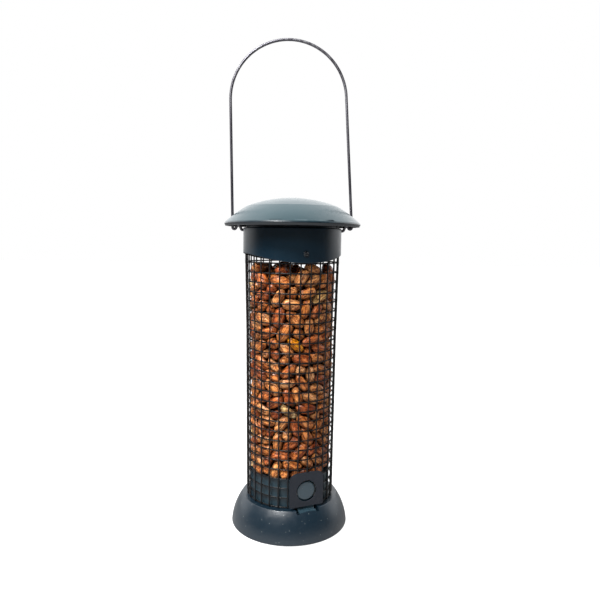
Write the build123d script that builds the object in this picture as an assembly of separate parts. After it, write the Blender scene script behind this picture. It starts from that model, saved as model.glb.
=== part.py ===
"""Hanging peanut feeder: a mesh tube with a domed lid, a wire bail and a bell-shaped drop-out base.

Millimetres, +Z up. The origin is the underside of the bail's arch, straight above the tube's axis, where
a hook carries the feeder. The pivot pins run along X, and the front of the feeder faces -Y.
"""

from build123d import *
import math
import os

# Welded mesh tube. Heights marked "from the hoop" count from the first hoop below the collar.
HOOP_Z = -153.9
HOOP_PITCH = 6.87
HOOPS_ABOVE = 2
HOOPS_BELOW = 25
WIRE = 1.0
WIRE_COUNT = 29
WIRE_PHASE = -1.7
WELD_SINK = 0.1
WIRE_PROFILE = ((33.6, 17.0), (33.5, 0.0), (32.45, -50.0), (31.5, -172.2))
WIRE_BEND_R = 150.0
MESH_NEAR = 25.0
MESH_FAR = 40.0

# Bail: one length of spring wire, with an arch, two legs and two hooked ends. It leans to the left.
BAIL_WIRE = 2.0
ARCH_R = 40.9
ARCH_SHIFT = -3.9
ARCH_Z = -math.sqrt((ARCH_R - BAIL_WIRE / 2) ** 2 - ARCH_SHIFT**2)
PIVOT_Z = HOOP_Z + 22.6
LEG_X = 43.1
HOOK_DIP = 2.8
FOOT_Z = PIVOT_Z - HOOK_DIP
HOOK_CREST = (38.9, 5.0)
HOOK_DROP_X = 36.7
HOOK_BEND_R = 1.2
PIN_END_X = 32.0

# Lid: a pressed dome with a rim that rolls under and two slots for the bail's legs. The slopes, in
# degrees, are those of the skin half-way to the crease, at the crease, on the flank and at the edge.
LID_TOP = HOOP_Z + 45.7
LID_SHEET = 0.9
LID_CROWN_R = 90.5
LID_CREASE_R = 33.0
LID_FLANK = (41.0, -11.5)
LID_EDGE = (48.3, -17.5)
LID_WIDEST = (49.0, -18.5)
LID_RIM = (48.1, -20.4)
LID_SLOPES = (10, 28, 36, 45)
LID_HEM = 1.5
LID_HEM_R = 0.5
LID_LIFT = 70.0
LID_SLOT_WIDTH = 2.6
LID_SLOT_SPARE = 0.8

# Collar: the moulded top ring, with a neck, two lobes for its screws and two lugs under the lid.
COLLAR_R = 35.35
COLLAR_WALL = 1.2
COLLAR_LOW = 0.3
COLLAR_SHOULDER = 24.3
SHOULDER_THICK = 1.4
NECK_R = 33.3
NECK_WALL = 1.7
NECK_TOP = 30.0
LUG_R = 13.2
LUG_ROOT = 0.2
SHOULDER_EDGE_R = 0.8
COLLAR_EDGE_R = 0.45
LOBE_DROP = 6.0
LOBE_ANGLE = 15.6
PIN_CLEARANCE = 0.08
REAR_SCREW_TURN = 175.0

# The two collar screws, each with a washer and a nut inside the tube.
SCREW_Z = HOOP_Z + 6.55
SCREW_D = 2.0
HEAD_D = 3.8
HEAD_H = 1.1
HEAD_EDGE_R = 0.6
HEAD_SEAT = COLLAR_R + 0.02
CROSS_SLOT = (2.2, 0.5, 0.6)
SCREW_TAIL = 0.4
WASHER_D = 8.0
WASHER_H = 0.5
WASHER_FACE = 31.7
NUT_FLATS = 4.0
NUT_H = 1.6

# Latch plate and the press catch behind it. N is the distance out from the tube's axis.
PLATE_ANGLE = 22.5
PLATE_N = 31.4
PLATE_THICK = 0.8
PLATE_WIDTH = 25.5
PLATE_BOTTOM = HOOP_Z - 170.9
PLATE_TOP = HOOP_Z - 146.4
PLATE_CORNER = 5.0
PLATE_FOOT_CORNER = 0.8
PLATE_HOLE_D = 15.4
PLATE_HOLE_Z = HOOP_Z - 159.8
WINDOW_WIDTH = 23.5
BUTTON_D = 14.0
BUTTON_THICK = 1.6
BUTTON_GAP = 0.25
BUTTON_SAG = 0.4
TONGUE_WIDTH = 13.2
TONGUE_THICK = 1.6
TONGUE_TOP = HOOP_Z - 155.0
NOTCH_SIDE = 1.8
NOTCH_NEAR = 24.0
NOTCH_FAR = 35.5
NOTCH_DEPTH = 6.5
POCKET_WALL = 1.2

# Base: the bell, the plug that stands in the tube's end, and the three screws that join them.
BELL_TOP = HOOP_Z - 172.6
BELL_NECK_R = 34.9
BELL_WAIST = (40.1, -8.9)
BELL_R = 43.1
BELL_HEIGHT = 21.4
BELL_WALL = 2.2
NECK_INSET = 0.8
BELL_FOOT_R = 0.9
BELL_TOP_EDGE_R = 0.6
LEDGE_THICK = 2.4
LEDGE_BORE_R = 18.5
PLUG_TOP = HOOP_Z - 152.6
PLUG_R = 28.6
PLUG_WALL = 2.0
PLUG_RIB = 0.8
PLUG_RIB_WIDTH = 1.2
PLUG_RIBS = 24
PLUG_FLOOR = 1.6
PLUG_BANDS = (0.0, -6.6, -13.4)
BOSS_CIRCLE_R = 22.4
BOSS_D = 6.4
BASE_SCREW_D = 3.0
BASE_SCREW_LENGTH = 10.0
BASE_HEAD_D = 5.6
BASE_HEAD_H = 2.0
BASE_HEAD_EDGE_R = 0.9
BASE_CROSS_SLOT = (3.2, 0.7, 0.8)
DRAIN_D = 4.0
DRAIN_CIRCLE_R = 13.0
DRAINS = 8
PLUG_POCKET_NEAR = 23.6
PLUG_SLOT_NEAR = 26.0

# Peanuts: one plain body of the heap, standing on the plug.
FILL_PROFILE = ((29.3, -152.3), (30.0, -50.0), (30.9, -4.0))


def turned(*edges):
    """A full turn about Z of the closed outline made by these edges, given as (radius, height)."""
    outline = Wire(list(edges))
    return revolve(make_face(Plane.XZ * outline), Axis.Z, 360)


def turned_outline(*points):
    """A full turn about Z of a closed polygon of (radius, height) points."""
    return turned(*Polyline(*points, close=True).edges())


def place(shape, angle):
    """Turns a shape that was built facing the front, -Y, to its angle round the tube."""
    return Rot(0, 0, angle) * shape


def front_box(width, near, far, low, high):
    """A box facing the front, from near to far out from the axis and from low to high."""
    return Pos(0, -(near + far) / 2, (low + high) / 2) * Box(width, far - near, high - low)


def front_rod(diameter, near, far, height):
    """A rod pointing out of the front, from near to far out from the axis."""
    return Pos(0, -(near + far) / 2, height) * Rot(90, 0, 0) * Cylinder(diameter / 2, far - near)


def wire_radius(z):
    """The radius of the upright wires' centres at a height above the first hoop."""
    for (r_high, z_high), (r_low, z_low) in zip(WIRE_PROFILE, WIRE_PROFILE[1:]):
        if z >= z_low:
            return r_low + (r_high - r_low) * (z - z_low) / (z_high - z_low)
    return WIRE_PROFILE[-1][0]


def mesh_window():
    """The opening cut in the mesh behind the latch plate."""
    low = PLATE_BOTTOM - 2 * WIRE
    return place(front_box(WINDOW_WIDTH, MESH_NEAR, MESH_FAR, low, PLATE_TOP - WIRE / 2), PLATE_ANGLE)


def screw_angles():
    return (LOBE_ANGLE, LOBE_ANGLE + REAR_SCREW_TURN)


def leg_top(side):
    """Where a leg runs out of the arch with no corner. Side is 1 on the right and -1 on the left."""
    across = LEG_X - side * ARCH_SHIFT
    drop = ARCH_Z - FOOT_Z
    lean = math.acos(ARCH_R / math.hypot(across, drop)) - math.atan2(drop, across)
    return ARCH_SHIFT + side * ARCH_R * math.cos(lean), ARCH_Z + ARCH_R * math.sin(lean)


def leg_x(side, z):
    """How far across the middle of a leg is at a height."""
    top_x, top_z = leg_top(side)
    foot_x = side * LEG_X
    return foot_x + (top_x - foot_x) * (z - FOOT_Z) / (top_z - FOOT_Z)


def bail_side(side):
    """A leg and its hooked end, from the arch to the tip of the pivot pin."""
    top_x, top_z = leg_top(side)
    hook = [
        (LEG_X, FOOT_Z),
        (HOOK_CREST[0], PIVOT_Z + HOOK_CREST[1]),
        (HOOK_DROP_X, PIVOT_Z),
        (PIN_END_X, PIVOT_Z),
    ]
    points = [(top_x, 0, top_z)] + [(side * x, 0, z) for x, z in hook]
    return FilletPolyline(*points, radius=HOOK_BEND_R)


def bail_wire():
    """The bail as one swept wire in the XZ plane."""
    right_x, right_z = leg_top(1)
    left_x, left_z = leg_top(-1)
    arch = ThreePointArc((right_x, 0, right_z), (ARCH_SHIFT, 0, ARCH_Z + ARCH_R), (left_x, 0, left_z))
    path = Wire(bail_side(1).edges() + arch.edges() + bail_side(-1).edges())
    start = Plane(origin=(PIN_END_X, 0, PIVOT_Z), z_dir=(1, 0, 0))
    return sweep(start * Circle(BAIL_WIRE / 2), path=path)


def lid_shape(inset):
    """The solid under the dome's skin, moved in by inset."""
    crease_drop = LID_CROWN_R - math.sqrt(LID_CROWN_R**2 - LID_CREASE_R**2)
    crown_mid = LID_CREASE_R / 2
    crown_mid_drop = LID_CROWN_R - math.sqrt(LID_CROWN_R**2 - crown_mid**2)

    def point(r, drop, slope):
        lean = math.radians(slope)
        return (r - inset * math.sin(lean), LID_TOP + drop - inset * math.cos(lean))

    mid_slope, crease_slope, flank_slope, edge_slope = LID_SLOPES
    apex = point(0, 0, 0)
    crown = point(crown_mid, -crown_mid_drop, mid_slope)
    crease = point(LID_CREASE_R, -crease_drop, crease_slope)
    flank = point(*LID_FLANK, flank_slope)
    edge = point(*LID_EDGE, edge_slope)
    hem = inset / LID_SHEET * LID_HEM
    widest = (LID_WIDEST[0] - hem, LID_TOP + LID_WIDEST[1])
    rim = (LID_RIM[0] - hem, LID_TOP + LID_RIM[1])
    return turned(
        *ThreePointArc(apex, crown, crease).edges(),
        *ThreePointArc(crease, flank, edge).edges(),
        *Polyline(edge, widest, rim, (0, rim[1]), apex).edges(),
    )


def lid_slot(side):
    """The slot that a leg runs through, long enough for all of the lid's way up the leaning legs."""
    rest = LID_TOP + LID_FLANK[1]

    def middle(z):
        return (leg_x(1, z) + leg_x(-1, z)) / 2

    raised = rest + LID_LIFT
    at_rest = leg_x(side, rest)
    at_top = leg_x(side, raised) - middle(raised) + middle(rest)
    length = abs(at_rest - at_top) + BAIL_WIRE + 2 * LID_SLOT_SPARE
    slot = extrude(SlotOverall(length, LID_SLOT_WIDTH), -LID_RIM[1])
    return Pos((at_rest + at_top) / 2, 0, LID_TOP + LID_RIM[1]) * slot


def lid_dome():
    lid = lid_shape(0) - lid_shape(LID_SHEET)
    circles = lid.edges().filter_by(GeomType.CIRCLE)
    lid = fillet([e for e in circles if e.radius > LID_RIM[0] - LID_HEM_R / 2], LID_HEM_R)
    return lid - lid_slot(1) - lid_slot(-1)


def collar():
    """A thin ring whose lower edge dips to a lobe at each screw."""
    inner = COLLAR_R - COLLAR_WALL
    neck_inner = NECK_R - NECK_WALL
    shoulder = HOOP_Z + COLLAR_SHOULDER
    low = HOOP_Z + COLLAR_LOW
    ring = turned_outline(
        (inner, low),
        (COLLAR_R, low),
        (COLLAR_R, shoulder),
        (NECK_R, shoulder),
        (NECK_R, HOOP_Z + NECK_TOP),
        (neck_inner, HOOP_Z + NECK_TOP),
        (neck_inner, shoulder - SHOULDER_THICK),
        (inner, shoulder - SHOULDER_THICK),
    )
    shoulder_edge = ring.edges().filter_by(GeomType.CIRCLE).filter_by_position(Axis.Z, shoulder, shoulder)
    ring = fillet(shoulder_edge.sort_by(lambda e: e.radius)[-1], SHOULDER_EDGE_R)
    ring += collar_lugs(neck_inner, shoulder)
    saddle_r = (COLLAR_R**2 + LOBE_DROP**2) / (2 * LOBE_DROP)
    saddle = Pos(0, 0, low + saddle_r) * Rot(90, 0, 0) * Cylinder(saddle_r, 4 * COLLAR_R)
    ring &= place(saddle, LOBE_ANGLE)
    bottom = [e for e in ring.edges() if e.center().Z < low + LOBE_DROP + 1 and e.length > COLLAR_R]
    ring = fillet(bottom, COLLAR_EDGE_R)
    pin_hole_r = BAIL_WIRE / 2 + PIN_CLEARANCE
    ring -= Pos(0, 0, PIVOT_Z) * Rot(0, 90, 0) * Cylinder(pin_hole_r, 3 * COLLAR_R)
    for angle in screw_angles():
        ring -= place(front_rod(SCREW_D + 0.2, MESH_NEAR, MESH_FAR, SCREW_Z), angle)
    return ring


def collar_lugs(neck_inner, shoulder):
    """Two rounded lugs in the neck, centred on the pivot, that the lid rests on."""
    disc = Pos(0, 0, PIVOT_Z) * Rot(0, 90, 0) * Cylinder(LUG_R, 3 * COLLAR_R)
    tall = 2 * LUG_R
    tube = Cylinder(NECK_R, tall) - Cylinder(neck_inner, tall)
    return disc & (Pos(0, 0, shoulder + tall / 2 - LUG_ROOT) * tube)


def collar_screw():
    face = HEAD_SEAT + HEAD_H
    head = front_rod(HEAD_D, HEAD_SEAT, face, SCREW_Z)
    head = fillet(head.edges().sort_by(Axis.Y)[0], HEAD_EDGE_R)
    end = WASHER_FACE - WASHER_H - NUT_H - SCREW_TAIL
    screw = head + front_rod(SCREW_D, end, HEAD_SEAT + HEAD_H / 2, SCREW_Z)
    length, width, depth = CROSS_SLOT
    for turn in (0, 90):
        screw -= Pos(0, -face, SCREW_Z) * Rot(0, turn, 0) * Box(length, 2 * depth, width)
    return screw


def collar_washer():
    ring = front_rod(WASHER_D, WASHER_FACE - WASHER_H, WASHER_FACE, SCREW_Z)
    return ring - front_rod(SCREW_D + 0.1, MESH_NEAR, MESH_FAR, SCREW_Z)


def collar_nut():
    outer = WASHER_FACE - WASHER_H
    hexagon = RegularPolygon(NUT_FLATS / 2, 6, major_radius=False)
    block = Pos(0, -outer, SCREW_Z) * Rot(-90, 0, 0) * extrude(hexagon, NUT_H)
    return block - front_rod(SCREW_D + 0.06, MESH_NEAR, MESH_FAR, SCREW_Z)


def upright_wire():
    """One upright wire at the front."""
    points = [(0, -r, HOOP_Z + z) for r, z in WIRE_PROFILE]
    path = FilletPolyline(*points, radius=WIRE_BEND_R)
    return sweep(Plane(origin=points[0], z_dir=path % 0) * Circle(WIRE / 2), path=path)


def mesh_vertical_wires():
    first = upright_wire()
    window = mesh_window()
    wires = []
    for i in range(WIRE_COUNT):
        angle = WIRE_PHASE + i * 360 / WIRE_COUNT
        wire = place(first, angle)
        if abs(angle - PLATE_ANGLE) < 25:
            wire -= window
        wires.extend(wire.solids())
    return wires


def hoop_ring(radius, z):
    """One hoop, of eight-sided wire, which is as good as round at this size."""
    section = Plane.XZ * Pos(radius, z) * RegularPolygon(WIRE / 2, 8)
    return revolve(section, Axis.Z, 360)


def mesh_hoops():
    window = mesh_window()
    gap = front_box(2 * SCREW_D, MESH_NEAR, MESH_FAR, SCREW_Z - SCREW_D, SCREW_Z + SCREW_D)
    screw_gaps = [place(gap, angle) for angle in screw_angles()]
    hoops = []
    for i in range(-HOOPS_ABOVE, HOOPS_BELOW + 1):
        z = -i * HOOP_PITCH
        hoop = hoop_ring(wire_radius(z) - WIRE + WELD_SINK, HOOP_Z + z)
        if HOOP_Z + z < PLATE_TOP:
            hoop -= window
        if abs(HOOP_Z + z - SCREW_Z) < HOOP_PITCH / 2:
            for screw_gap in screw_gaps:
                hoop -= screw_gap
        hoops.extend(hoop.solids())
    return hoops


def latch_plate():
    sheet = front_box(PLATE_WIDTH, PLATE_N, PLATE_N + PLATE_THICK, PLATE_BOTTOM, PLATE_TOP)
    upper = sheet.edges().filter_by(Axis.Y).group_by(Axis.Z)[-1]
    sheet = fillet(upper, PLATE_CORNER)
    sheet = fillet(sheet.edges().filter_by(Axis.Y).group_by(Axis.Z)[0], PLATE_FOOT_CORNER)
    return place(sheet - front_rod(PLATE_HOLE_D, MESH_NEAR, MESH_FAR, PLATE_HOLE_Z), PLATE_ANGLE)


def bell_notch():
    """The gap in the bell's shoulder that the tongue comes up through."""
    width = TONGUE_WIDTH + 2 * NOTCH_SIDE
    low = BELL_TOP - NOTCH_DEPTH
    return place(front_box(width, NOTCH_NEAR, NOTCH_FAR, low, BELL_TOP + 1), PLATE_ANGLE)


def notch_pocket():
    """The walls and floor that close the notch off from the hollow under it."""
    width = TONGUE_WIDTH + 2 * (NOTCH_SIDE + POCKET_WALL)
    low = BELL_TOP - NOTCH_DEPTH - POCKET_WALL
    high = BELL_TOP - LEDGE_THICK / 2
    return place(front_box(width, NOTCH_NEAR - POCKET_WALL, BELL_R, low, high), PLATE_ANGLE)


def base_screw_angles():
    return [PLATE_ANGLE + turn for turn in (60, 180, 300)]


def base_bell():
    foot = BELL_TOP - BELL_HEIGHT
    waist_r, waist_drop = BELL_WAIST
    skin = ThreePointArc((BELL_NECK_R, BELL_TOP), (waist_r, BELL_TOP + waist_drop), (BELL_R, foot))
    under = BELL_TOP - LEDGE_THICK
    lining = ThreePointArc(
        (BELL_NECK_R - NECK_INSET, under),
        (waist_r - BELL_WALL, BELL_TOP + waist_drop - NECK_INSET),
        (BELL_R - BELL_WALL, foot),
    )
    bell = turned(
        *skin.edges(),
        *Line((BELL_R, foot), (BELL_R - BELL_WALL, foot)).edges(),
        *lining.edges(),
        *Polyline(
            (BELL_NECK_R - NECK_INSET, under),
            (LEDGE_BORE_R, under),
            (LEDGE_BORE_R, BELL_TOP),
            (BELL_NECK_R, BELL_TOP),
        ).edges(),
    )
    bell = fillet(outer_edge(bell, foot), BELL_FOOT_R)
    bell = fillet(outer_edge(bell, BELL_TOP), BELL_TOP_EDGE_R)
    core = Polyline((BELL_R, foot), (0, foot), (0, BELL_TOP), (BELL_NECK_R, BELL_TOP))
    inside = turned(*skin.edges(), *core.edges())
    bell = bell + (notch_pocket() & inside) - bell_notch()
    for angle in base_screw_angles():
        bell -= place(base_screw_axis(BASE_SCREW_D + 0.3, under - 1, BELL_TOP + 1), angle)
    return bell


def outer_edge(shape, height):
    """The widest round edge of a turned shape at this height."""
    rings = shape.edges().filter_by(GeomType.CIRCLE).filter_by_position(Axis.Z, height, height)
    return rings.sort_by(lambda e: e.radius)[-1]


def base_screw_axis(diameter, low, high):
    return Pos(0, -BOSS_CIRCLE_R, (low + high) / 2) * Cylinder(diameter / 2, high - low)


def base_plug():
    """A ribbed cup with a drained floor, standing upside down on the bell's ledge."""
    height = PLUG_TOP - BELL_TOP
    middle = (PLUG_TOP + BELL_TOP) / 2
    plug = Pos(0, 0, middle) * Cylinder(PLUG_R, height)
    for band in PLUG_BANDS:
        level = PLUG_TOP + band - PLUG_RIB / 2
        plug += Pos(0, 0, level) * Cylinder(PLUG_R + PLUG_RIB, PLUG_RIB)
    rib = front_box(PLUG_RIB_WIDTH, PLUG_R - 1, PLUG_R + PLUG_RIB, BELL_TOP, PLUG_TOP - PLUG_RIB / 2)
    for i in range(PLUG_RIBS):
        plug += place(rib, PLATE_ANGLE + (i + 0.5) * 360 / PLUG_RIBS)
    plug -= Pos(0, 0, middle - PLUG_FLOOR) * Cylinder(PLUG_R - PLUG_WALL, height)
    for angle in base_screw_angles():
        boss = base_screw_axis(BOSS_D, BELL_TOP, PLUG_TOP - 0.5)
        bore = base_screw_axis(BASE_SCREW_D, BELL_TOP - 1, BELL_TOP + BASE_SCREW_LENGTH)
        plug = plug + place(boss, angle) - place(bore, angle)
    plug -= Pos(0, 0, PLUG_TOP) * Cylinder(DRAIN_D / 2, 4 * PLUG_FLOOR)
    for i in range(DRAINS):
        drain = Pos(DRAIN_CIRCLE_R, 0, PLUG_TOP) * Cylinder(DRAIN_D / 2, 4 * PLUG_FLOOR)
        plug -= Rot(0, 0, i * 360 / DRAINS) * drain
    pocket = TONGUE_WIDTH + 2 * NOTCH_SIDE
    plug -= place(front_box(pocket, PLUG_POCKET_NEAR, MESH_FAR, BELL_TOP - 1, TONGUE_TOP + 1), PLATE_ANGLE)
    return plug - place(front_box(pocket, PLUG_SLOT_NEAR, MESH_FAR, BELL_TOP - 1, PLUG_TOP + 1), PLATE_ANGLE)


def base_screw():
    under = BELL_TOP - LEDGE_THICK
    face = under - BASE_HEAD_H
    head = base_screw_axis(BASE_HEAD_D, face, under - 0.02)
    head = fillet(head.edges().sort_by(Axis.Z)[0], BASE_HEAD_EDGE_R)
    screw = head + base_screw_axis(BASE_SCREW_D - 0.1, under - 1, BELL_TOP + BASE_SCREW_LENGTH - 1)
    length, width, depth = BASE_CROSS_SLOT
    for turn in (0, 90):
        screw -= Pos(0, -BOSS_CIRCLE_R, face) * Rot(0, 0, turn) * Box(length, width, 2 * depth)
    return screw


def catch_button():
    face = PLATE_N - BUTTON_GAP
    centre = PLATE_HOLE_Z - BUTTON_SAG
    disc = front_rod(BUTTON_D, face - BUTTON_THICK, face, centre)
    disc = fillet(disc.edges().filter_by(GeomType.CIRCLE).sort_by(Axis.Y)[0], 0.4)
    return place(disc, PLATE_ANGLE)


def catch_tongue():
    """The springy tongue: a ridge on the bell's shoulder, a step in, and an upright leaf."""
    front = PLATE_N - BUTTON_GAP - BUTTON_THICK
    back = front - TONGUE_THICK
    outline = Polyline(
        (0, -35.3, BELL_TOP - 2.1),
        (0, -34.2, BELL_TOP - 0.7),
        (0, -(front + 2.2), BELL_TOP - 0.5),
        (0, -front, BELL_TOP + 1.6),
        (0, -front, TONGUE_TOP),
        (0, -back, TONGUE_TOP),
        (0, -back, BELL_TOP + 0.2),
        (0, -(back + 2.4), BELL_TOP - 2.3),
        (0, -33.7, BELL_TOP - 2.4),
        (0, -34.6, BELL_TOP - 3.3),
        close=True,
    )
    leaf = extrude(make_face(outline.edges()), TONGUE_WIDTH / 2, dir=(1, 0, 0), both=True)
    return place(leaf, PLATE_ANGLE)


def peanut_fill():
    side = [(r, HOOP_Z + z) for r, z in FILL_PROFILE]
    return turned_outline((0, side[0][1]), *side, (0, side[-1][1]))


def at_screws(shape):
    return [place(shape, angle) for angle in screw_angles()]


def save(name, *shapes):
    """Writes one node: one solid, or a group of separate solids."""
    solids = [solid for shape in shapes for solid in shape.solids()]
    node = solids[0] if len(solids) == 1 else Compound(children=solids)
    export_step(node, f"parts/{name}.step")


os.makedirs("parts", exist_ok=True)
save("bail_wire", bail_wire())
save("lid_dome", lid_dome())
save("collar", collar())
save("collar_screws", *at_screws(collar_screw()))
save("collar_washers", *at_screws(collar_washer()))
save("collar_nuts", *at_screws(collar_nut()))
save("mesh_vertical_wires", *mesh_vertical_wires())
save("mesh_hoops", *mesh_hoops())
save("latch_plate", latch_plate())
save("base_bell", base_bell())
save("base_plug", base_plug())
save("base_screws", *[place(base_screw(), angle) for angle in base_screw_angles()])
save("catch_button", catch_button())
save("catch_tongue", catch_tongue())
save("peanut_fill", peanut_fill())
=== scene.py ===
"""Looks of the hanging peanut feeder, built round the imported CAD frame. Metres, +Z up, front towards -Y."""

import math

import bmesh
import bpy
import numpy as np
from mathutils import Matrix, Vector

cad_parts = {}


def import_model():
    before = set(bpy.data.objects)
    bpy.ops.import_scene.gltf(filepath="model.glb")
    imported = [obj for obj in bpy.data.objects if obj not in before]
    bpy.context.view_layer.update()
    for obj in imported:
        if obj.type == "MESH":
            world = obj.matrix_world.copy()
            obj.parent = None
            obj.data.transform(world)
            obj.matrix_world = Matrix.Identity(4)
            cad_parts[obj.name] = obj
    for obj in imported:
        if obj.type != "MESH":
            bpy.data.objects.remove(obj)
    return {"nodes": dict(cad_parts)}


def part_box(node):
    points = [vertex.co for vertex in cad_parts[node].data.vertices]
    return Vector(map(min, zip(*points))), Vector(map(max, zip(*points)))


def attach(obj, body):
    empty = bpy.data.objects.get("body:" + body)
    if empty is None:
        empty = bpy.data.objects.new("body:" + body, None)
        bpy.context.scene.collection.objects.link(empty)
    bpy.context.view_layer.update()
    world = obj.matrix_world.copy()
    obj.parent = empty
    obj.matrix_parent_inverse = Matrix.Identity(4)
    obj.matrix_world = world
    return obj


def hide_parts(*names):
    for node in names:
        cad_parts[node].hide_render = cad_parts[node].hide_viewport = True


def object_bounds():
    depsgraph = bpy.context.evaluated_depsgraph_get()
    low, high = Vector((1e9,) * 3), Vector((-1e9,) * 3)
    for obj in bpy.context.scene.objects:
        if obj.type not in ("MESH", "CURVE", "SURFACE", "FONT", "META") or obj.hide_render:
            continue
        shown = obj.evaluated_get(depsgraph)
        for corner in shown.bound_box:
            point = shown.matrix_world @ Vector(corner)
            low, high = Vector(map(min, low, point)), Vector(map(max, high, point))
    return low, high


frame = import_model()
cad_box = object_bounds()
NODES = frame["nodes"]
SCENE = bpy.context.scene
MM = 0.001


# ---------------------------------------------------------------- materials

# Painted shade: the colour that gaps and corners are darkened towards.
GAP_SHADE = 0.002
# Painted light: a shaded copy of the lid's enamel for its lip and sides and a lit copy for what faces up.
LID_SHADED = (0.001, 0.005, 0.010)
LID_LIT = (0.019, 0.047, 0.057)
LID_DUST = (0.30, 0.33, 0.33)
LID_SPECK = (0.4, 0.42, 0.42)
PLASTIC_DUST = (0.28, 0.30, 0.31)
PLASTIC_SPECK = (0.34, 0.38, 0.38)
COAT_DUST = (0.30, 0.26, 0.22)
STEEL_DARK = (0.11, 0.105, 0.122)
STEEL_MIDDLE = (0.17, 0.165, 0.184)
STEEL_BRIGHT = (0.27, 0.27, 0.286)
STEEL_DULL = (0.055, 0.052, 0.064)
SKIN_DARKER = (0.24, 0.10, 0.075)
SKIN_LIGHTER = (1.25, 1.5, 2.1)
SKIN_RUBBED = (0.74, 0.46, 0.20)
SKINS = (
    (0.0, (0.38, 0.075, 0.018)),
    (0.25, (0.62, 0.160, 0.034)),
    (0.55, (0.80, 0.275, 0.060)),
    (0.8, (0.88, 0.36, 0.105)),
    (1.0, (0.92, 0.44, 0.165)),
)
BARE = ((0.0, (0.72, 0.38, 0.11)), (0.8, (0.80, 0.52, 0.20)), (1.0, (1.0, 0.36, 0.006)))
CATCH_TEAL = (0.019, 0.041, 0.056)
PLUG_TEAL = (0.019, 0.038, 0.051)
BELL_NAVY = (0.0030, 0.0120, 0.0215)
COLLAR_NAVY = (0.0012, 0.0100, 0.0190)
PLATE_GREY = (0.0155, 0.0185, 0.0255)
MESH_BLACK = (0.006, 0.006, 0.0068)
ZINC, WORN_ZINC = (0.5, 0.5, 0.48), (0.62, 0.62, 0.58)
BLACKED, WORN_BLACK = (0.018, 0.02, 0.024), (0.40, 0.42, 0.44)


class Shader:
    """A material's node tree, with one short call for each kind of node."""

    def __init__(self, name):
        self.material = bpy.data.materials.new(name)
        self.material.use_nodes = True
        self.nodes = self.material.node_tree.nodes
        self.links = self.material.node_tree.links
        self.bsdf = self.nodes["Principled BSDF"]
        self.place = self.add("TexCoord").outputs["Object"]

    def add(self, kind, inputs=None, **settings):
        node = self.nodes.new("ShaderNode" + kind)
        for key, value in settings.items():
            setattr(node, key, value)
        for key, value in (inputs or {}).items():
            self.set(node, key, value)
        return node

    def set(self, node, key, value):
        if isinstance(value, bpy.types.NodeSocket):
            self.links.new(value, node.inputs[key])
        else:
            node.inputs[key].default_value = value

    def surface(self, **values):
        for key, value in values.items():
            self.set(self.bsdf, key.replace("_", " "), value)

    def stretched(self, scale):
        return self.add("Mapping", {"Vector": self.place, "Scale": scale}).outputs[0]

    def noise(self, scale, detail=3.0, roughness=0.55, stretch=None, place=None):
        """Cloudy noise from 0 to 1, with scale in cells per metre."""
        if place is None:
            place = self.stretched(stretch) if stretch else self.place
        inputs = {"Vector": place, "Scale": scale, "Detail": detail, "Roughness": roughness}
        return self.add("TexNoise", inputs).outputs["Fac"]

    def specks(self, scale, size):
        """Small round specks: 1 in a speck and 0 between them."""
        inputs = {"Vector": self.place, "Scale": scale, "Randomness": 1.0}
        distance = self.add("TexVoronoi", inputs).outputs["Distance"]
        return self.spread(distance, size, size * 0.6)

    def spread(self, value, low, high, to_low=0.0, to_high=1.0):
        inputs = {"Value": value, 1: low, 2: high, 3: to_low, 4: to_high}
        return self.add("MapRange", inputs).outputs["Result"]

    def ramp(self, value, *stops):
        """A colour ramp, with stops given as (place, grey or colour)."""
        node = self.add("ValToRGB", {"Fac": value})
        marks = node.color_ramp.elements
        while len(marks) < len(stops):
            marks.new(0.5)
        for mark, (place, colour) in zip(marks, stops):
            mark.position = place
            mark.color = rgba(colour)
        return node.outputs["Color"]

    def mix(self, factor, first, second, blend="MIX"):
        node = self.add("Mix", data_type="RGBA", blend_type=blend)
        self.set(node, 0, factor)
        for index, value in ((6, first), (7, second)):
            self.set(node, index, value if isinstance(value, bpy.types.NodeSocket) else rgba(value))
        return node.outputs[2]

    def math(self, operation, first, second=0.5):
        return self.add("Math", {0: first, 1: second}, operation=operation).outputs[0]

    def painted_gap_shade(self, tone, reach, strength):
        """Paints shade into a colour: darkens it in gaps and corners narrower than reach."""
        gap = self.add("AmbientOcclusion", {"Distance": reach}, samples=8).outputs["AO"]
        shade = self.spread(gap, 0.25, 0.85, strength, 0.0)
        return self.mix(shade, tone, GAP_SHADE)

    def bump(self, height, distance, strength=1.0, under=None):
        node = self.add("Bump", {"Height": height, "Distance": distance, "Strength": strength})
        if under is not None:
            self.links.new(under, node.inputs["Normal"])
        return node.outputs[0]


def rgba(colour):
    if isinstance(colour, (int, float)):
        colour = (colour,) * 3
    return (*colour[:3], 1.0)


def scaled(colour, factor):
    return tuple(c * factor for c in colour)


def lid_enamel():
    """Glossy dark teal enamel with thin orange peel and specks of dust, with painted light: lighter where it
    faces up, darker on its lip and sides.
    """
    s = Shader("lid_enamel")
    up = s.add("SeparateXYZ", {0: s.add("TexCoord").outputs["Normal"]}).outputs["Z"]
    # Painted light: the enamel goes from its shaded copy on the lip and sides to its lit copy where it faces
    # up.
    painted_uplight = s.math("MULTIPLY", s.spread(up, 0.45, 0.8), s.spread(s.noise(60, 4), 0.2, 0.8, 0.9, 1.0))
    tone = s.mix(painted_uplight, LID_SHADED, LID_LIT)
    dust = s.spread(s.noise(420, 5, 0.7), 0.58, 0.8)
    tone = s.mix(s.math("MULTIPLY", dust, 0.03), tone, LID_DUST)
    tone = s.mix(s.math("MULTIPLY", s.specks(160, 0.03), 0.25), tone, LID_SPECK)
    s.surface(
        Base_Color=tone,
        Roughness=s.spread(s.noise(160, 4), 0.3, 0.7, 0.30, 0.38),
        Normal=s.bump(s.noise(300, 1), 0.00003, 0.03),
        Specular_IOR_Level=0.4,
        Coat_Weight=0.75,
        Coat_Roughness=0.2,
    )
    return s.material


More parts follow.
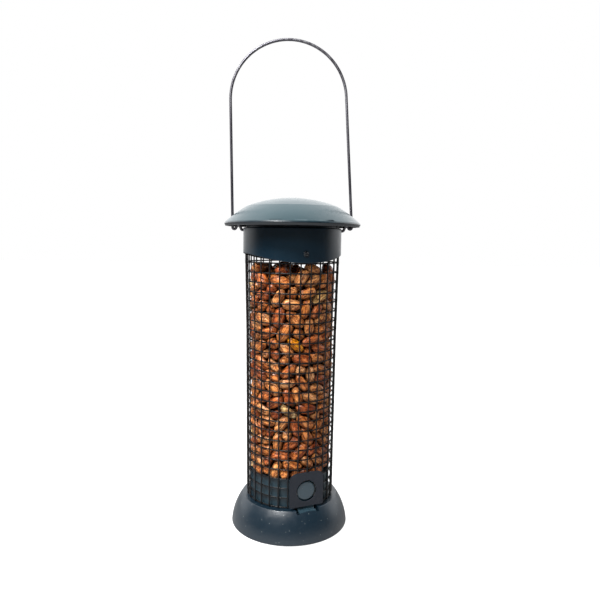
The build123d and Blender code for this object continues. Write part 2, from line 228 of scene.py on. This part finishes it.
def moulded_plastic(name, colour, roughness, speck_amount, shine=0.5):
    """Moulded plastic with fine grain, pale specks and slight clouding."""
    s = Shader(name)
    tone = s.mix(s.noise(60, 3), scaled(colour, 0.92), scaled(colour, 1.1))
    tone = s.mix(s.math("MULTIPLY", s.specks(300, 0.09), speck_amount), tone, PLASTIC_SPECK)
    dust = s.spread(s.noise(500, 6, 0.75), 0.56, 0.8)
    tone = s.mix(s.math("MULTIPLY", dust, speck_amount * 0.1), tone, PLASTIC_DUST)
    fine = s.bump(s.noise(2600, 2), 0.00003, 0.3)
    s.surface(
        Base_Color=tone,
        Roughness=s.spread(s.noise(240, 4), 0.3, 0.7, roughness - 0.03, roughness + 0.04),
        Normal=s.bump(s.noise(60, 1), 0.0005, 0.04, fine),
        Specular_IOR_Level=shine,
    )
    return s.material


def powder_coat(name, colour, roughness, dust_amount):
    """Powder coat: a fine pebbled skin with dust caught in it."""
    s = Shader(name)
    tone = s.mix(s.noise(250, 3), scaled(colour, 0.8), scaled(colour, 1.25))
    dust = s.spread(s.noise(700, 5, 0.7), 0.52, 0.78)
    tone = s.mix(s.math("MULTIPLY", dust, dust_amount), tone, COAT_DUST)
    pebble = s.bump(s.noise(3200, 2), 0.00009, 0.6)
    s.surface(
        # Painted shade: the coat is darkened in gaps and corners narrower than 1.2 mm.
        Base_Color=s.painted_gap_shade(tone, 0.0012, 0.9),
        Roughness=s.spread(s.noise(500, 3), 0.3, 0.7, roughness - 0.07, roughness + 0.09),
        Normal=pebble,
        Specular_IOR_Level=0.3,
    )
    return s.material


def drawn_steel():
    """Drawn spring wire: bright streaks along its length and broad dull patches."""
    s = Shader("bail_steel")
    streaks = s.noise(450, 2, 0.5, stretch=(1.0, 1.0, 0.03))
    tone = s.ramp(streaks, (0.3, STEEL_DARK), (0.5, STEEL_MIDDLE), (0.7, STEEL_BRIGHT))
    dull = s.spread(s.noise(28, 3), 0.45, 0.62)
    tone = s.mix(s.math("MULTIPLY", dull, 0.6), tone, STEEL_DULL)
    s.surface(
        Base_Color=tone,
        Metallic=1.0,
        Roughness=s.spread(streaks, 0.3, 0.7, 0.46, 0.56),
        Normal=s.bump(streaks, 0.00001, 0.1),
    )
    return s.material


def screw_metal(name, colour, worn, roughness):
    """Plated or blackened steel, with lighter worn spots on it."""
    s = Shader(name)
    rub = s.spread(s.noise(1100, 5, 0.7), 0.5, 0.7)
    tone = s.mix(rub, s.mix(s.noise(300, 3), scaled(colour, 0.75), scaled(colour, 1.25)), worn)
    s.surface(
        Base_Color=tone,
        Metallic=0.85,
        Roughness=s.spread(rub, 0.0, 1.0, roughness, roughness - 0.12),
        Normal=s.bump(s.noise(2400, 3), 0.00005, 0.5),
    )
    return s.material


def kernel_colour(s, skins, patchiness):
    """A peanut's colour: its own shade, dark veins along it, darker patches and pale rubbed spots.

    The veins and the kernel's own coordinates are given back too, for its wrinkles.
    """
    own = s.add("Attribute", attribute_name="shade").outputs["Fac"]
    local = s.add("Attribute", attribute_name="local").outputs["Vector"]
    veined = s.add("Mapping", {"Vector": local, "Scale": (110.0, 520.0, 520.0)}).outputs[0]
    veins = s.noise(1.0, 3, 0.6, place=veined)
    ridge = s.math("ABSOLUTE", s.math("SUBTRACT", veins, 0.5))
    tone = s.ramp(own, *skins)
    dark = s.mix(1.0, tone, SKIN_DARKER, "MULTIPLY")
    tone = s.mix(s.spread(ridge, 0.012, 0.065, 0.95, 0.0), tone, dark)
    blotch = s.noise(210, 4, 0.6, place=local)
    tone = s.mix(s.spread(blotch, 0.52, 0.72, 0.0, patchiness), tone, dark)
    light = s.mix(1.0, tone, SKIN_LIGHTER, "MULTIPLY")
    tone = s.mix(s.spread(blotch, 0.5, 0.36, 0.0, 0.9), tone, light)
    rubbed = s.spread(s.noise(250, 5, 0.7, place=local), 0.62, 0.7, 0.0, 0.6)
    return s.mix(rubbed, tone, SKIN_RUBBED), ridge, local


def peanut_skin(name, shades, patchiness):
    """Papery skin with a soft shine, wrinkled along the kernel."""
    s = Shader(name)
    tone, ridge, local = kernel_colour(s, shades, patchiness)
    groove = s.bump(s.spread(ridge, 0.0, 0.06), 0.0002, 0.6)
    s.surface(
        # Painted shade: the skins are darkened in the gaps between kernels.
        Base_Color=s.painted_gap_shade(tone, 0.005, 0.92),
        Roughness=s.spread(s.noise(400, 3, place=local), 0.3, 0.7, 0.28, 0.42),
        Normal=s.bump(s.noise(900, 3, place=local), 0.00015, 0.5, groove),
        Specular_IOR_Level=0.45,
    )
    return s.material


def paint(material, *names):
    for name in names:
        for slot in NODES[name].material_slots:
            slot.material = material


MESH_COAT = powder_coat("mesh_coat", MESH_BLACK, 0.36, 0.1)
paint(drawn_steel(), "bail_wire")
paint(lid_enamel(), "lid_dome")
paint(moulded_plastic("collar_plastic", COLLAR_NAVY, 0.31, 0.05), "collar")
paint(screw_metal("black_screw", BLACKED, WORN_BLACK, 0.42), "collar_screws")
paint(screw_metal("zinc_plate", ZINC, WORN_ZINC, 0.4), "collar_washers", "collar_nuts", "base_screws")
paint(powder_coat("plate_coat", PLATE_GREY, 0.5, 0.05), "latch_plate")
paint(moulded_plastic("bell_plastic", BELL_NAVY, 0.33, 0.55, 0.95), "base_bell")
paint(moulded_plastic("plug_plastic", PLUG_TEAL, 0.40, 0.2), "base_plug")
CATCH_PLASTIC = moulded_plastic("catch_plastic", CATCH_TEAL, 0.22, 0.14, 0.9)


# ---------------------------------------------------------------- the mesh tube's shape, as the CAD has it

HOOP_TOP = -153.9
HOOP_PITCH = 6.87
HOOPS_ABOVE = 2
HOOPS_BELOW = 25
UPRIGHTS = 29
UPRIGHT_PHASE = -1.7
WIRE = 1.0
HOOP_INSET = 0.9
# Radius of the uprights' middles and height from the first hoop, from the top down.
WIRE_PROFILE = ((33.6, 17.0), (33.5, 0.0), (32.45, -50.0), (31.5, -172.2))
PLATE_ANGLE = 22.5
PLATE_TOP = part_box("latch_plate")[1].z / MM
WINDOW_HALF = 11.75
SCREW_HEIGHT = 6.55


def wire_radius(height):
    """The radius of the uprights' middles, in millimetres, at heights from the first hoop."""
    radii, heights = zip(*reversed(WIRE_PROFILE))
    return np.interp(height, heights, radii)


def place_piece(mesh, material, body, replaced):
    """Puts a mesh in the scene as a piece that rides on a body, in place of a CAD node."""
    mesh.materials.append(material)
    piece = bpy.data.objects.new(mesh.name, mesh)
    SCENE.collection.objects.link(piece)
    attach(piece, body)
    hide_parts(replaced)
    return piece


def add_piece(name, points, faces, material, body, replaced):
    mesh = bpy.data.meshes.new(name)
    mesh.from_pydata(points.tolist(), [], faces)
    mesh.shade_smooth()
    return place_piece(mesh, material, body, replaced)


class Bundle:
    """Many closed shapes gathered into one mesh."""

    def __init__(self):
        self.points, self.faces, self.count = [], [], 0

    def add(self, points, faces):
        self.points.append(points)
        self.faces.extend([tuple(v + self.count for v in face) for face in faces])
        self.count += len(points)

    def all_points(self):
        return np.concatenate(self.points)


# ---------------------------------------------------------------- welded wires

WIRE_SIDES = 8
STEPS_PER_CELL = 6
WELD_SWELL = 0.16
WELD_REACH = 0.75
TIP_SHARE = 0.55
SHORTEST_RUN = 4
HOOP_WAVER, HOOP_LIFT = 0.035, 0.07
UPRIGHT_WAVER, UPRIGHT_SWAY = 0.03, 0.11
# The hoop level with the collar's screws stops this many degrees short of each of them.
SCREW_ANGLES = (15.6, 190.6)
SCREW_CLEAR = 3.5
FAR_ASIDE = 99.0


def wire_faces(rings, closed):
    """The faces round a wire of so many rings, with its ends capped if it isn't closed."""
    faces = []
    for i in range(rings if closed else rings - 1):
        here, there = i * WIRE_SIDES, ((i + 1) % rings) * WIRE_SIDES
        for j in range(WIRE_SIDES):
            k = (j + 1) % WIRE_SIDES
            faces.append((here + j, here + k, there + k, there + j))
    if not closed:
        faces.append(tuple(reversed(range(WIRE_SIDES))))
        last = (rings - 1) * WIRE_SIDES
        faces.append(tuple(range(last, last + WIRE_SIDES)))
    return faces


def wire_points(middles, thick, closed):
    """Rings round a wire's middle line. The line keeps within a few degrees of one plane or of upright."""
    if closed:
        along = np.roll(middles, -1, 0) - np.roll(middles, 1, 0)
    else:
        along = np.gradient(middles, axis=0)
    along /= np.linalg.norm(along, axis=1, keepdims=True)
    out = middles * (1, 1, 0)
    out -= along * (out * along).sum(1, keepdims=True)
    out /= np.linalg.norm(out, axis=1, keepdims=True)
    side = np.cross(along, out)
    turn = np.arange(WIRE_SIDES) * 2 * np.pi / WIRE_SIDES
    ring = out[:, None] * np.cos(turn)[:, None] + side[:, None] * np.sin(turn)[:, None]
    return (middles[:, None] + ring * thick[:, None, None]).reshape(-1, 3)


def rounded_ends(thick):
    """Narrows a wire's ends to a blunt tip, as a cut and coated wire has."""
    for end in (0, -1):
        thick[end] *= TIP_SHARE
    return thick


def waver(rng, count, size, waves=7):
    """A slow random wave, which meets itself at the ends."""
    phase = np.linspace(0, 2 * np.pi, count, endpoint=False)
    parts = [np.sin(k * phase + rng.uniform(0, 6.3)) * rng.normal() for k in range(1, waves)]
    return size * np.sum(parts, axis=0) / math.sqrt(waves)


def weld_swell(distance):
    return 1 + WELD_SWELL * np.exp(-((distance / WELD_REACH) ** 2))


def window_side(angle, radius):
    """How far a point on the tube is to the side of the latch plate's middle, or far if it's behind."""
    turn = (angle - PLATE_ANGLE + 180) % 360 - 180
    return np.where(np.abs(turn) < 90, radius * np.sin(np.radians(turn)), FAR_ASIDE)


def runs_kept(keep):
    """The stretches of a line, as index ranges, where keep is true for long enough to be a wire."""
    edges = np.flatnonzero(np.diff(np.concatenate([[0], keep.astype(int), [0]])))
    return [(a, b) for a, b in edges.reshape(-1, 2) if b - a >= SHORTEST_RUN]


def add_mesh_piece(name, bundle, replaced):
    points = bundle.all_points() * MM
    add_piece(name, points, bundle.faces, MESH_COAT, "tube", replaced)


def hoop_line(rng, index):
    """One hoop's middle line, thickness and the part of it that isn't cut away."""
    steps = UPRIGHTS * STEPS_PER_CELL
    turn = np.arange(steps) * 360 / steps + UPRIGHT_PHASE
    height = -index * HOOP_PITCH
    radius = wire_radius(height) - HOOP_INSET
    cell = (np.arange(steps) % STEPS_PER_CELL) / STEPS_PER_CELL
    arc = np.minimum(cell, 1 - cell) * 2 * np.pi * radius / UPRIGHTS
    thick = WIRE / 2 * weld_swell(arc)
    radius = radius + waver(rng, steps, HOOP_WAVER)
    lift = waver(rng, steps, HOOP_LIFT)
    angle = np.radians(turn)
    x, y = radius * np.sin(angle), -radius * np.cos(angle)
    middles = np.stack([x, y, HOOP_TOP + height + lift], 1)
    keep = np.ones(steps, bool)
    if HOOP_TOP + height < PLATE_TOP:
        keep &= np.abs(window_side(turn, radius)) > WINDOW_HALF
    if abs(height - SCREW_HEIGHT) < HOOP_PITCH / 2:
        for screw in SCREW_ANGLES:
            keep &= np.abs((turn - screw + 180) % 360 - 180) > SCREW_CLEAR
    return middles, thick, keep


def add_hoops(rng):
    bundle = Bundle()
    for index in range(-HOOPS_ABOVE, HOOPS_BELOW + 1):
        middles, thick, keep = hoop_line(rng, index)
        if keep.all():
            bundle.add(wire_points(middles, thick, True), wire_faces(len(middles), True))
            continue
        start = int(np.flatnonzero(~keep)[0])
        middles, thick, keep = (np.roll(part, -start, 0) for part in (middles, thick, keep))
        for a, b in runs_kept(keep):
            blunt = rounded_ends(thick[a:b].copy())
            bundle.add(wire_points(middles[a:b], blunt, False), wire_faces(b - a, False))
    add_mesh_piece("mesh_hoop_wires", bundle, "mesh_hoops")


def add_uprights(rng):
    bundle = Bundle()
    top, bottom = WIRE_PROFILE[0][1], WIRE_PROFILE[-1][1]
    steps = round((top - bottom) / HOOP_PITCH * STEPS_PER_CELL)
    height = np.linspace(bottom, top, steps)
    offset = np.abs((height / HOOP_PITCH + 0.5) % 1 - 0.5) * HOOP_PITCH
    offset[height > (HOOPS_ABOVE + 0.5) * HOOP_PITCH] = HOOP_PITCH
    for i in range(UPRIGHTS):
        turn = UPRIGHT_PHASE + i * 360 / UPRIGHTS
        radius = wire_radius(height) + waver(rng, steps, UPRIGHT_WAVER)
        sway = waver(rng, steps, UPRIGHT_SWAY) / radius
        angle = math.radians(turn) + sway
        middles = np.stack([radius * np.sin(angle), -radius * np.cos(angle), HOOP_TOP + height], 1)
        thick = WIRE / 2 * weld_swell(offset)
        keep = (np.abs(window_side(turn, radius)) > WINDOW_HALF) | (middles[:, 2] > PLATE_TOP - WIRE / 2)
        for a, b in runs_kept(keep):
            blunt = rounded_ends(thick[a:b].copy())
            bundle.add(wire_points(middles[a:b], blunt, False), wire_faces(b - a, False))
    add_mesh_piece("mesh_upright_wires", bundle, "mesh_vertical_wires")


# ---------------------------------------------------------------- catch tongue

TONGUE_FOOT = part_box("base_bell")[1].z / MM
TONGUE_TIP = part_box("catch_tongue")[1].z / MM
TONGUE_HALF = 6.2
TONGUE_FRONT = 29.55
TONGUE_BACK = 27.95
TONGUE_BEVEL = 0.16
TIP_SLOPE = 0.5
# The tongue's section: distance from the tube's axis and height above the bell.
TONGUE_LOWER = (
    (35.25, -2.1), (35.05, -1.4), (34.5, -0.7), (33.9, -0.42), (33.3, -0.62), (32.9, -1.05), (31.8, -0.95),
    (30.3, 0.3), (TONGUE_FRONT, 1.6),
)
TONGUE_UNDER = ((TONGUE_BACK, 0.2), (30.35, -2.3), (33.7, -2.4), (34.6, -3.25))


def add_tongue(material):
    """The catch's springy tongue, with a bead for a fingernail across its foot and softened edges."""
    tip = TONGUE_TIP - TONGUE_FOOT
    upper = ((TONGUE_FRONT, tip - TIP_SLOPE), (TONGUE_FRONT - TIP_SLOPE, tip), (TONGUE_BACK, tip))
    outline = [*TONGUE_LOWER, *upper, *TONGUE_UNDER]
    bm = bmesh.new()
    sides = [
        [bm.verts.new((side, -n, TONGUE_FOOT + h)) for n, h in outline]
        for side in (-TONGUE_HALF, TONGUE_HALF)
    ]
    bm.faces.new(sides[0])
    bm.faces.new(reversed(sides[1]))
    for i in range(len(outline)):
        k = (i + 1) % len(outline)
        bm.faces.new((sides[0][k], sides[0][i], sides[1][i], sides[1][k]))
    bmesh.ops.recalc_face_normals(bm, faces=bm.faces)
    corners = [e for e in bm.edges if e.calc_face_angle(0) > math.radians(25)]
    bmesh.ops.bevel(bm, geom=corners, offset=TONGUE_BEVEL, segments=2, affect="EDGES", profile=0.5)
    bmesh.ops.rotate(bm, verts=bm.verts, matrix=Matrix.Rotation(math.radians(PLATE_ANGLE), 3, "Z"))
    bmesh.ops.scale(bm, verts=bm.verts, vec=(MM, MM, MM))
    mesh = bpy.data.meshes.new("catch_tongue_leaf")
    bm.to_mesh(mesh)
    bm.free()
    mesh.shade_smooth()
    mesh.set_sharp_from_angle(angle=math.radians(40))
    place_piece(mesh, material, "catch", "catch_tongue")


BUTTON_SIDES = 64
BUTTON_FACE = 31.15
# Radius and depth behind the face, from the face to the back.
BUTTON_PROFILE = ((5.6, 0.0), (6.1, 0.03), (6.45, 0.13), (6.62, 0.32), (6.68, 0.6), (6.68, 1.6))


def add_button(material):
    """The catch's round button, with a softened rim."""
    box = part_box("catch_button")
    middle = (box[0].z + box[1].z) / 2 / MM
    turn = np.arange(BUTTON_SIDES) * 2 * np.pi / BUTTON_SIDES
    circle = np.stack([np.cos(turn), np.zeros(BUTTON_SIDES), np.sin(turn)], 1)
    rings = [r * circle + (0, depth - BUTTON_FACE, middle) for r, depth in BUTTON_PROFILE]
    hub = [(0, -BUTTON_FACE, middle), (0, BUTTON_PROFILE[-1][1] - BUTTON_FACE, middle)]
    points = np.vstack([*rings, hub])
    front, back = len(points) - 2, len(points) - 1
    last = (len(rings) - 1) * BUTTON_SIDES
    faces = []
    for j in range(BUTTON_SIDES):
        k = (j + 1) % BUTTON_SIDES
        faces.append((front, j, k))
        faces.append((back, last + k, last + j))
        for ring in range(0, last, BUTTON_SIDES):
            faces.append((ring + j, ring + BUTTON_SIDES + j, ring + BUTTON_SIDES + k, ring + k))
    swing = np.array(Matrix.Rotation(math.radians(PLATE_ANGLE), 3, "Z"))
    points = points @ swing.T * MM
    piece = add_piece("catch_button_cap", points, faces, material, "catch", "catch_button")
    piece.data.set_sharp_from_angle(angle=math.radians(50))


# ---------------------------------------------------------------- peanuts

KERNEL_COUNT = 700
# While it settles a kernel is three balls: place along it and radius.
KERNEL_BALLS = ((-3.6, 3.5), (0.0, 4.1), (3.4, 3.7))
SETTLE_STEPS = 300
PUSHES_PER_STEP = 4
PAIRS_EVERY = 4
PAIR_SLACK = 2.2
PUSH_SHARE = 0.42
SINK = 0.62
SINK_SHARE = 0.88
HEAP_FLOOR = -152.6
HEAP_TOP = -0.5
HEAP_GAP = 0.12
TRAVEL = 25.0
LEAN_REACH = 2.6
GOLDEN_PLACE = (4.0, -28.0, -62.0)
BARE_SHARE = 0.035
START_R = 26.0
START_LIFT = 5
START_STRETCH = 1.35
TIP_LENGTH, TIP_ROUND = 4, 2.2
KERNEL_HALF = 6.9
KERNEL_CAP = 0.05
GERM = 0.55
RINGS = 14
SIDES = 12
WHOLE_FORMS = 12
HALF_FORMS = 5


def settled_kernels(rng):
    """Middles, directions and sizes of kernels that have sunk to rest inside the tube, in millimetres."""
    size = rng.uniform(0.88, 1.12, KERNEL_COUNT)
    along, ball = (np.array(column) for column in zip(*KERNEL_BALLS))
    reach, radius = along[None] * size[:, None], ball[None] * size[:, None]
    tall = (HEAP_TOP - HEAP_FLOOR) * START_STRETCH
    turn = rng.uniform(0, 2 * np.pi, KERNEL_COUNT)
    out = START_R * np.sqrt(rng.uniform(0, 1, KERNEL_COUNT))
    rise = HEAP_FLOOR + START_LIFT + tall * (rng.permutation(KERNEL_COUNT) + 0.5) / KERNEL_COUNT
    middle = np.stack([out * np.cos(turn), out * np.sin(turn), rise], 1)
    lean = rng.normal(size=(KERNEL_COUNT, 3)) * (1, 1, 0.75)
    lean /= np.linalg.norm(lean, axis=1, keepdims=True)
    owner = np.repeat(np.arange(KERNEL_COUNT), len(ball))
    flat_radius = radius.ravel()
    for step in range(SETTLE_STEPS):
        middle[:, 2] -= SINK * max(0.0, 1 - step / (SINK_SHARE * SETTLE_STEPS))
        for push in range(PUSHES_PER_STEP):
            place = (middle[:, None] + lean[:, None] * reach[..., None]).reshape(-1, 3)
            if push == 0 and step % PAIRS_EVERY == 0:
                pairs = near_pairs(place, flat_radius, owner)
            push_apart(place, flat_radius, pairs)
            keep_inside(place, flat_radius)
            place = place.reshape(KERNEL_COUNT, -1, 3)
            axis = place[:, -1] - place[:, 0]
            lean = axis / np.linalg.norm(axis, axis=1, keepdims=True)
            middle = (place - lean[:, None] * reach[..., None]).mean(1)
    tip = middle[:, 2] + np.abs(lean[:, 2]) * TIP_LENGTH * size + TIP_ROUND * size
    kept = tip < HEAP_TOP
    return middle[kept], lean[kept], size[kept]


def near_pairs(place, radius, owner):
    """Pairs of balls of different kernels that touch, or nearly do."""
    order = np.argsort(place[:, 2])
    height = place[order, 2]
    widest = 2 * radius.max() + PAIR_SLACK
    first, second = [], []
    for rank, high in enumerate(np.searchsorted(height, height + widest)):
        mates = order[rank + 1:high]
        me = order[rank]
        gap = np.abs(place[mates, :2] - place[me, :2]).max(1)
        mates = mates[(gap < widest) & (owner[mates] != owner[me])]
        first.append(np.full(len(mates), me))
        second.append(mates)
    return np.concatenate(first), np.concatenate(second)


def push_apart(place, radius, pairs):
    first, second = pairs
    apart = place[first] - place[second]
    distance = np.linalg.norm(apart, axis=1) + 1e-9
    overlap = radius[first] + radius[second] - distance
    hit = overlap > 0
    first, second = first[hit], second[hit]
    shove = apart[hit] * (PUSH_SHARE * overlap[hit] / distance[hit])[:, None]
    for axis in range(3):
        place[:, axis] += np.bincount(first, shove[:, axis], len(place))
        place[:, axis] -= np.bincount(second, shove[:, axis], len(place))


def tube_wall(height):
    """How far from the axis a kernel can reach and still clear the hoops as the base slides down."""
    return wire_radius(height - TRAVEL) - HOOP_INSET - WIRE / 2 * (1 + WELD_SWELL) - HEAP_GAP


def keep_inside(place, radius):
    """Keeps balls on the plug and inside the wires, with room for the base to slide down."""
    np.maximum(place[:, 2], HEAP_FLOOR + radius, out=place[:, 2])
    wall = tube_wall(place[:, 2])
    out = np.hypot(place[:, 0], place[:, 1]) + 1e-9
    shrink = np.minimum(1, (wall - radius) / out)
    place[:, :2] *= shrink[:, None]


def leaned(skin):
    """Moves a kernel of the outer layer out until it rests on the wires."""
    out = np.hypot(skin[:, 0], skin[:, 1])
    spare = (tube_wall(skin[:, 2]) - out).min()
    if 0 < spare < LEAN_REACH:
        middle = skin.mean(0)
        skin[:, :2] += middle[:2] / np.hypot(*middle[:2]) * spare
    return skin


def pressed(skin):
    """Flattens a kernel's skin where it would reach through the wires or into the plug."""
    wall = tube_wall(skin[:, 2])
    out = np.hypot(skin[:, 0], skin[:, 1])
    skin[:, :2] *= np.minimum(1, wall / out)[:, None]
    np.maximum(skin[:, 2], HEAP_FLOOR, out=skin[:, 2])
    return skin


def kernel_form(rng, half):
    """One kernel lying along X, in millimetres: a blunt ovoid with a germ tip, a crease and wrinkles."""
    a = -np.cos(np.linspace(0, np.pi, RINGS + 2))[1:-1, None]
    turn = (np.arange(SIDES) * 2 * np.pi / SIDES)[None]
    blunt = rng.uniform(2.1, 2.9)
    girth = (1 - np.abs(a) ** blunt) ** (1 / 2.1) * (1 - rng.uniform(0.02, 0.13) * a)
    girth = girth * (1 - rng.uniform(0.0, 0.06) * np.exp(-((a - 0.1) / 0.4) ** 2))
    crease = np.exp(-((np.abs(turn - np.pi / 2) / 0.28) ** 2))
    girth = girth * (1 - 0.07 * crease * (1 - a**2))
    waves = rng.uniform(0, 6.3, 4)
    broad, narrow = np.sin(5 * turn + 2.2 * a + waves[0]), np.sin(9 * turn - 3 * a + waves[1])
    girth = girth * (1 + 0.014 * broad + 0.01 * narrow)
    girth = girth * (1 + 0.018 * np.sin(6 * a + waves[2]) * np.sin(turn + waves[3]))
    nub = GERM * np.exp(-((1 - a) / 0.02))
    wide, deep = rng.uniform(3.9, 4.35), rng.uniform(3.6, 4.1)
    y, z = girth * np.cos(turn) * wide, girth * np.sin(turn) * deep
    slant = rng.uniform(-0.25, 0.25) * (1 - a) / 2
    x = a * KERNEL_HALF + nub + y * slant
    if half:
        z = np.where(z < 0, z * 0.2, z) - 0.4
    x, y, z = np.broadcast_arrays(x, y, z)
    body = np.stack([x, y, z], -1).reshape(-1, 3)
    end = KERNEL_HALF + KERNEL_CAP
    heel, tip = (-end, 0, z[0].mean()), (end + GERM, 0, z[-1].mean())
    return np.vstack([body, heel, tip])


def kernel_faces():
    faces = []
    for i in range(RINGS - 1):
        for j in range(SIDES):
            k = (j + 1) % SIDES
            faces.append((i * SIDES + j, (i + 1) * SIDES + j, (i + 1) * SIDES + k, i * SIDES + k))
    heel, tip, last = RINGS * SIDES, RINGS * SIDES + 1, (RINGS - 1) * SIDES
    for j in range(SIDES):
        k = (j + 1) % SIDES
        faces.append((heel, j, k))
        faces.append((tip, last + k, last + j))
    return faces


def kernel_frame(rng, lean):
    """A turned frame whose first axis is the kernel's length."""
    spare = np.array((0, 0, 1.0)) if abs(lean[2]) < 0.9 else np.array((1.0, 0, 0))
    side = np.cross(lean, spare)
    side /= np.linalg.norm(side)
    over = np.cross(lean, side)
    spin = rng.uniform(0, 2 * np.pi)
    c, s = math.cos(spin), math.sin(spin)
    return np.stack([lean, side * c + over * s, over * c - side * s])


def add_kernels(rng):
    middle, lean, size = settled_kernels(rng)
    whole = [kernel_form(rng, False) for _ in range(WHOLE_FORMS)]
    halves = [kernel_form(rng, True) for _ in range(HALF_FORMS)]
    faces = kernel_faces()
    bare = rng.random(len(middle)) < BARE_SHARE
    golden = np.argmin(np.linalg.norm(middle - GOLDEN_PLACE, axis=1))
    bare[golden] = True
    groups = (
        ("peanut_kernels", whole, ~bare, peanut_skin("peanut_skins", SKINS, 0.75)),
        ("peanut_halves", whole[:2] + halves, bare, peanut_skin("peanut_bare", BARE, 0.25)),
    )
    for name, forms, chosen, material in groups:
        bundle = Bundle()
        shade, local = [], []
        for i in np.flatnonzero(chosen):
            form = forms[rng.integers(len(forms))]
            skin = pressed(leaned(middle[i] + form * size[i] @ kernel_frame(rng, lean[i])))
            bundle.add(skin + (0, 0, HOOP_TOP), faces)
            own = 1.0 if i == golden else rng.beta(1.6, 1.7) * 0.94
            shade.append(np.full(len(form), own))
            local.append(form * MM + rng.uniform(-1, 1, 3))
        points = bundle.all_points() * MM
        piece = add_piece(name, points, bundle.faces, material, "base", "peanut_fill")
        layers = piece.data.attributes
        layers.new("shade", "FLOAT", "POINT").data.foreach_set("value", np.concatenate(shade))
        layers.new("local", "FLOAT_VECTOR", "POINT").data.foreach_set("vector", np.concatenate(local).ravel())


add_kernels(np.random.default_rng(11))
add_hoops(np.random.default_rng(23))
add_uprights(np.random.default_rng(37))
add_tongue(CATCH_PLASTIC)
add_button(CATCH_PLASTIC)


# ---------------------------------------------------------------- stage, light and camera

FLOOR_DROP = 0.055
FLOOR_GLOW = 0.9
FLOOR_TONE = 0.32
FLOOR_HALF = 6.0

FRONT_EDGE = -0.1
BACK_EDGE = 0.38
FRONT_GLOW = 0.06
BACK_GLOW = 1.3
SKY_TINT = (0.97, 0.985, 1.0)

CAMERA_PLACE = (0.0017, -0.4161, -0.1386)
CAMERA_PITCH = 5.913
CAMERA_YAW = -0.609
CAMERA_ROLL = 0.781
CAMERA_LENS = 34.29

SUBJECT = (0, 0, -0.24)
FILL_TARGET = (0, 0, -0.22)


def stage():
    base = cad_box[0].z - FLOOR_DROP
    mesh = bpy.data.meshes.new("floor")
    corners = [(x * FLOOR_HALF, y * FLOOR_HALF, base) for x, y in ((-1, -1), (1, -1), (1, 1), (-1, 1))]
    mesh.from_pydata(corners, [], [(0, 1, 2, 3)])
    floor = bpy.data.objects.new("floor", mesh)
    SCENE.collection.objects.link(floor)
    s = Shader("floor_white")
    s.surface(Base_Color=rgba(FLOOR_TONE), Roughness=0.9, Emission_Color=rgba(1.0))
    glow = s.math("MULTIPLY", s.add("LightPath").outputs["Is Camera Ray"], FLOOR_GLOW)
    s.set(s.bsdf, "Emission Strength", glow)
    mesh.materials.append(s.material)


def round_light(name, place, target, size, power):
    """A round soft light: its place, what it points at and its size in metres, and its power in watts."""
    data = bpy.data.lights.new(name, "AREA")
    data.shape = "DISK"
    data.size = size
    data.energy = power
    light = bpy.data.objects.new(name, data)
    light.location = place
    light.rotation_euler = (Vector(target) - Vector(place)).to_track_quat("-Z", "Y").to_euler()
    SCENE.collection.objects.link(light)
    return light


def world():
    """A white studio that is dimmer in front, where the camera stands, and pure white where it shows."""
    sky = bpy.data.worlds.new("studio")
    SCENE.world = sky
    sky.use_nodes = True
    nodes, links = sky.node_tree.nodes, sky.node_tree.links
    back = nodes["Background"]
    seen = nodes.new("ShaderNodeBackground")
    seen.inputs["Color"].default_value = rgba(1.0)
    where = nodes.new("ShaderNodeTexCoord")
    parts = nodes.new("ShaderNodeSeparateXYZ")
    depth = nodes.new("ShaderNodeMapRange")
    depth.interpolation_type = "SMOOTHSTEP"
    for index, value in ((1, FRONT_EDGE), (2, BACK_EDGE), (3, FRONT_GLOW), (4, BACK_GLOW)):
        depth.inputs[index].default_value = value
    links.new(where.outputs["Generated"], parts.inputs[0])
    links.new(parts.outputs["Y"], depth.inputs[0])
    links.new(depth.outputs[0], back.inputs["Strength"])
    back.inputs["Color"].default_value = rgba(SKY_TINT)
    ray = nodes.new("ShaderNodeLightPath")
    blend = nodes.new("ShaderNodeMixShader")
    links.new(ray.outputs["Is Camera Ray"], blend.inputs[0])
    links.new(back.outputs[0], blend.inputs[1])
    links.new(seen.outputs[0], blend.inputs[2])
    links.new(blend.outputs[0], nodes["World Output"].inputs["Surface"])


def camera():
    data = bpy.data.cameras.new("camera")
    data.sensor_width = 36
    data.lens = CAMERA_LENS
    data.clip_start = 0.01
    cam = bpy.data.objects.new("camera", data)
    cam.location = CAMERA_PLACE
    yaw = Matrix.Rotation(math.radians(CAMERA_YAW), 4, "Z")
    pitch = Matrix.Rotation(math.radians(90 - CAMERA_PITCH), 4, "X")
    roll = Matrix.Rotation(math.radians(CAMERA_ROLL), 4, "Z")
    cam.rotation_euler = (yaw @ pitch @ roll).to_euler()
    SCENE.collection.objects.link(cam)
    SCENE.camera = cam


stage()
world()
camera()
# Of the lights only the overhead one shows in reflections: the others would be spots in the plastic.
round_light("key", (-0.22, -0.78, 0.44), SUBJECT, 0.3, 7).visible_glossy = False
round_light("overhead", (-0.35, -0.46, 0.58), SUBJECT, 0.24, 17)
round_light("fill", (0.45, -1.0, 0.25), FILL_TARGET, 0.6, 1.2).visible_glossy = False
SCENE.view_settings.view_transform = "Standard"
